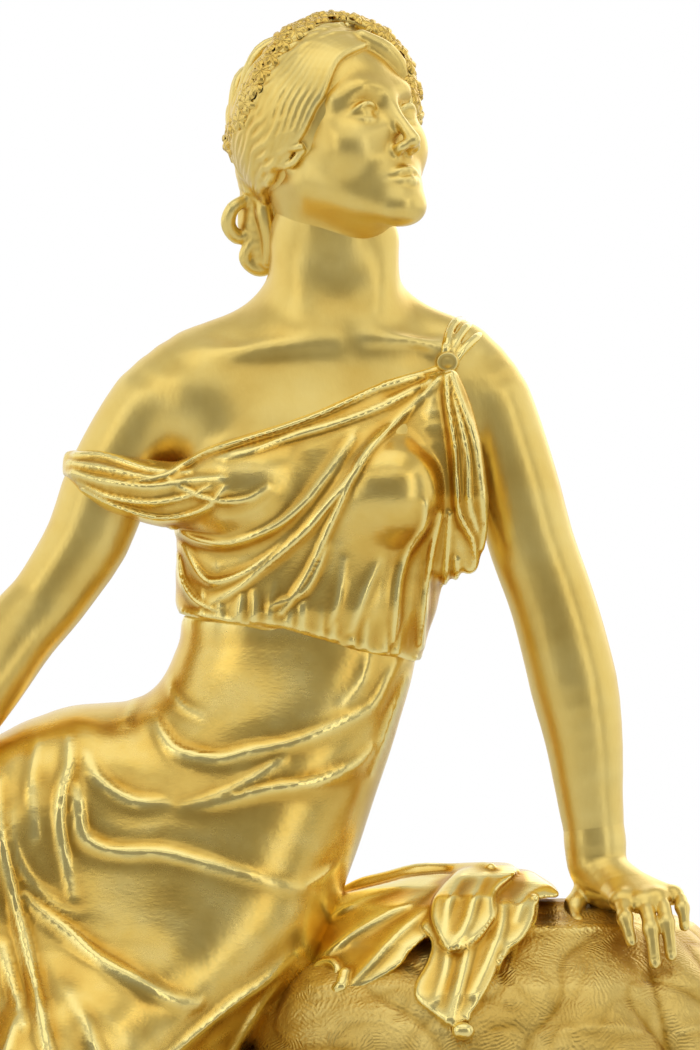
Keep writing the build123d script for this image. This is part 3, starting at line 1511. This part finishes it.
# Suspension: cock on the back plate, spring with its stirrup and pin, and the pendulum hung on the pin
cheek_front_y = pendulum_y - eye_length / 2 - cheek_gap
cheek_back_y = pendulum_y + eye_length / 2 + cheek_gap
with BuildPart() as cock:
    with Locations(Pos(dial_x, back_plate_back_y, dial_z + cock_low)):
        Box(cock_width, cock_thickness, cock_high - cock_low, align=(Align.CENTER, Align.MIN, Align.MIN))
    with Locations(Pos(dial_x, back_plate_back_y, dial_z + cock_high - cock_thickness)):
        Box(
            cock_width,
            cheek_back_y + cheek_thickness - back_plate_back_y,
            cock_thickness,
            align=(Align.CENTER, Align.MIN, Align.MIN),
        )
finish(cock, "suspension_cock")
stirrup_low = anchor_place[1] - suspension_pin_radius - stirrup_cover
stirrup_high = anchor_place[1] + eye_outer_radius + rod_lap
with BuildPart() as suspension:
    with Locations(Pos(dial_x, cheek_front_y - cheek_thickness, dial_z + stirrup_high)):
        Box(
            suspension_width,
            cheek_back_y - cheek_front_y + 2 * cheek_thickness,
            cheek_thickness,
            align=(Align.CENTER, Align.MIN, Align.MIN),
        )
    for cheek_y in (cheek_front_y - cheek_thickness, cheek_back_y):
        with Locations(Pos(dial_x, cheek_y, dial_z + stirrup_low)):
            Box(
                2 * suspension_pin_radius + 1,
                cheek_thickness,
                stirrup_high - stirrup_low,
                align=(Align.CENTER, Align.MIN, Align.MIN),
            )
    with Locations(Pos(dial_x, pendulum_y, dial_z + stirrup_high + cheek_thickness)):
        Box(
            suspension_thickness,
            suspension_width,
            cock_high - cock_thickness - stirrup_high - cheek_thickness,
            align=(Align.CENTER, Align.CENTER, Align.MIN),
        )
    round_bar(anchor_place, cheek_back_y, cheek_front_y, suspension_pin_radius)
finish(suspension, "suspension_spring")
with BuildPart() as pendulum:
    ring(
        anchor_place,
        pendulum_y + eye_length / 2,
        pendulum_y - eye_length / 2,
        eye_outer_radius,
        suspension_pin_radius + hand_clearance,
    )
    rod_top = dial_z + anchor_place[1] - eye_outer_radius + rod_lap
    with Locations(Pos(dial_x, pendulum_y, rod_top)):
        Cylinder(
            pendulum_rod_radius,
            pendulum_length + bob_radius + rating_nut_height + rod_end_length - eye_outer_radius,
            align=(Align.CENTER, Align.CENTER, Align.MAX),
        )
bob_place = (0, anchor_place[1] - pendulum_length)
finish(pendulum, "pendulum_rod")
with BuildPart() as bob:
    with BuildSketch(Plane.XY) as lens:
        with BuildLine():
            Line((0, -bob_thickness / 2), (bob_radius, -bob_edge_thickness / 2))
            Line((bob_radius, -bob_edge_thickness / 2), (bob_radius, bob_edge_thickness / 2))
            Line((bob_radius, bob_edge_thickness / 2), (0, bob_thickness / 2))
            Line((0, bob_thickness / 2), (0, -bob_thickness / 2))
        make_face()
    lens_body = revolve(lens.sketch.face(), axis=Axis.Y, mode=Mode.PRIVATE)
    with Locations(Pos(dial_x, pendulum_y, dial_z + bob_place[1])):
        add(lens_body)
        Cylinder(pendulum_rod_radius, 4 * bob_radius, mode=Mode.SUBTRACT)
finish(bob, "pendulum_bob")
with BuildPart() as rating_nut:
    with Locations(Pos(dial_x, pendulum_y, dial_z + bob_place[1] - bob_radius)):
        Cylinder(rating_nut_radius, rating_nut_height, align=(Align.CENTER, Align.CENTER, Align.MAX))
        Cylinder(pendulum_rod_radius, 4 * bob_radius, mode=Mode.SUBTRACT)
finish(rating_nut, "rating_nut")

# Motion work in front of the front plate
to_minute = between(centre, minute_place)[1]
with BuildPart() as cannon:
    flat_piece(centre, cannon_y, cannon_length, pinion_points(cannon_teeth, motion_module, to_minute))
    round_bar(centre, cannon_y, minute_hand_y, cannon_radius)
    round_bar(centre, cannon_y, minute_hand_y, arbor_radius, Mode.SUBTRACT)
finish(cannon, "cannon_pinion")
with BuildPart() as minute_wheel:
    flat_piece(
        minute_place, minute_wheel_y, wheel_thickness, wheel_points(
            minute_wheel_teeth, motion_module, to_minute + 180
        )
    )
    flat_piece(
        minute_place,
        minute_wheel_y - wheel_thickness,
        minute_pinion_length,
        pinion_points(minute_pinion_teeth, hour_module, to_minute + 180),
    )
    round_bar(minute_place, minute_wheel_y, minute_stud_y, minute_stud_radius + hand_clearance, Mode.SUBTRACT)
finish(minute_wheel, "minute_wheel")
with BuildPart() as hour_wheel:
    flat_piece(centre, hour_wheel_y, wheel_thickness, wheel_points(hour_wheel_teeth, hour_module, to_minute))
    round_bar(centre, hour_wheel_y, hour_hand_y - hand_thickness, hour_pipe_radius)
    round_bar(
        centre, hour_wheel_y, hour_hand_y - hand_thickness, cannon_radius + hand_clearance, Mode.SUBTRACT
    )
finish(hour_wheel, "hour_wheel")

# Hands: leaf shaped with a pierced ring, pointing at twelve, and the collet that keeps them
hand_rows = {
    "hour_hand": (hour_hand_y, hour_hand_length, hour_pipe_radius, hour_boss_radius),
    "minute_hand": (minute_hand_y, minute_hand_length, arbor_radius, hand_boss_radius),
}
for name, (y_back, length, bore, boss) in hand_rows.items():
    with BuildPart() as hand_piece:
        blade = [(share_x * hand_width, share_z * length) for share_x, share_z in hand_shares]
        blade += [(-x, z) for x, z in reversed(blade[:-1])]
        flat_piece(centre, y_back, hand_thickness, blade)
        round_bar(centre, y_back, y_back - hand_thickness, boss)
        ring_place = (0, hand_ring_share * length)
        round_bar(ring_place, y_back, y_back - hand_thickness, hand_width)
        round_bar(ring_place, y_back, y_back - hand_thickness, hand_width * 0.55, Mode.SUBTRACT)
        round_bar(centre, y_back, y_back - hand_thickness, bore, Mode.SUBTRACT)
    finish(hand_piece, name)
with BuildPart() as collet:
    round_bar(centre, minute_hand_y - hand_thickness, minute_hand_y - hand_boss_length, arbor_radius + 1)
    round_bar(
        centre, minute_hand_y - hand_thickness, minute_hand_y - hand_boss_length, arbor_radius, Mode.SUBTRACT
    )
finish(collet, "hand_collet")

# Bell on its stand, and the hammer
bell_boss_height = 1.6 * bell_wall
bell_seat_y = bell_rim_y + bell_depth - bell_boss_height + 0.1 * bell_wall
with BuildPart() as bell:
    with BuildSketch(Plane.XY) as bell_profile:
        with BuildLine():
            Spline(
                (bell_radius, 0), (bell_radius * 0.86, bell_depth * 0.45),
                (bell_radius * 0.5, bell_depth * 0.88), (0, bell_depth),
            )
            Line((0, bell_depth), (0, bell_depth - bell_wall))
            Spline(
                (0, bell_depth - bell_wall),
                (bell_radius * 0.46, bell_depth * 0.78),
                (bell_radius * 0.8, bell_depth * 0.4),
                (bell_radius - bell_wall, 0),
            )
            Line((bell_radius - bell_wall, 0), (bell_radius, 0))
        make_face()
    bell_body = revolve(bell_profile.sketch.face(), axis=Axis.Y, mode=Mode.PRIVATE)
    with Locations(Pos(dial_x + bell_place[0], bell_rim_y, dial_z + bell_place[1])):
        add(bell_body)
    round_bar(bell_place, bell_seat_y + bell_boss_height, bell_seat_y, 1.4 * bell_post_radius)
    round_bar(bell_place, bell_seat_y + bell_boss_height, bell_rim_y, bell_stud_radius, Mode.SUBTRACT)
finish(bell, "bell")
with BuildPart() as bell_stand:
    round_bar(bell_place, bell_seat_y, back_plate_back_y, bell_post_radius)
    round_bar(
        bell_place, bell_seat_y + bell_boss_height + bell_nut_height, back_plate_back_y, bell_stud_radius
    )
    round_bar(bell_place, back_plate_back_y + bell_wall, back_plate_back_y, 1.6 * bell_post_radius)
finish(bell_stand, "bell_stand")
with BuildPart() as bell_nut:
    nut_back_y = bell_seat_y + bell_boss_height + bell_nut_height
    ring(bell_place, nut_back_y, nut_back_y - bell_nut_height, bell_nut_radius, bell_stud_radius)
finish(bell_nut, "bell_nut")
strike_away = polar(1.0, hammer_angle)
head_reach = bell_radius + hammer_gap + hammer_length / 2
hammer_head = (bell_place[0] + strike_away[0] * head_reach, bell_place[1] + strike_away[1] * head_reach)
with BuildPart() as hammer:
    round_bar(hammer_place, hammer_y + hammer_arm_width, inner_front + end_shake, arbor_radius)
    round_bar(hammer_place, inner_front + end_shake, front_plate_y, pivot_radius)
    arm_length, arm_angle = between(hammer_place, hammer_head)
    middle = ((hammer_place[0] + hammer_head[0]) / 2, (hammer_place[1] + hammer_head[1]) / 2)
    with Locations(case_plane(hammer_y + hammer_arm_width / 2, *middle) * Rot(0, 0, arm_angle)):
        Box(arm_length + 1, hammer_arm_width, hammer_arm_width, align=(Align.CENTER, Align.CENTER, Align.MIN))
    with Locations(
        Plane(
            origin=(dial_x + hammer_head[0], hammer_y, dial_z + hammer_head[1]),
            z_dir=(strike_away[0], 0, strike_away[1]),
        )
    ):
        Cylinder(hammer_radius, hammer_length)
    tail_reach, tail_angle = between(hammer_place, pin_place)
    tail_length = tail_reach - pin_circle_radius - pin_radius - hammer_tail_gap
    tail_middle = polar(tail_length / 2, tail_angle)
    with Locations(
        case_plane(
            pin_wheel_y + pin_length, hammer_place[0] + tail_middle[0], hammer_place[1] + tail_middle[1]
        )
        * Rot(0, 0, tail_angle)
    ):
        tail_align = (Align.CENTER, Align.CENTER, Align.MIN)
        Box(tail_length, hammer_arm_width, pin_length - hammer_tail_play, align=tail_align)
finish(hammer, "hammer")
